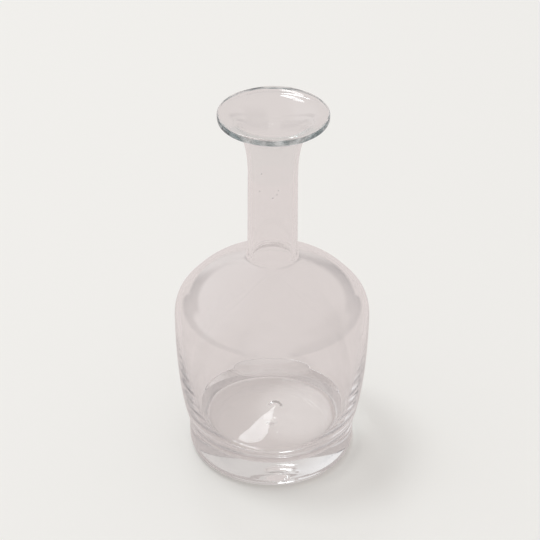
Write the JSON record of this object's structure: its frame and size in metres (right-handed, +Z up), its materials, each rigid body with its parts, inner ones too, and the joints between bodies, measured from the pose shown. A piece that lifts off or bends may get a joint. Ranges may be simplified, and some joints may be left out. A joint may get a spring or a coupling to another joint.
{
  "type": "decanter",
  "caption": "Clear glass decanter with a heavy round foot, a wide bowl with a domed shoulder, a slim straight neck and a flared mouth with a thick lip.",
  "frame": {"origin": "middle of the ring that the foot stands on, at table height", "axes": "+Z up along the axis of the neck and bowl; the decanter is round, so +X and +Y have no front of their own"},
  "size_m": [0.112, 0.112, 0.223],
  "materials": {
    "foot_glass": "clear, heavy solid glass with a fire-polished surface",
    "pontil_glass": "clear glass, broken off the iron and melted smooth",
    "bowl_glass": "clear, thin blown glass, slightly uneven",
    "neck_glass": "clear, thin drawn glass with a few small seeds",
    "lip_glass": "clear glass, thick and fire-polished, green-grey in its depth"
  },
  "bodies": {
    "root": {"foot": "foot_glass", "pontil_mark": "pontil_glass", "bowl": "bowl_glass", "neck": "neck_glass", "lip": "lip_glass"}
  },
  "joints": []
}
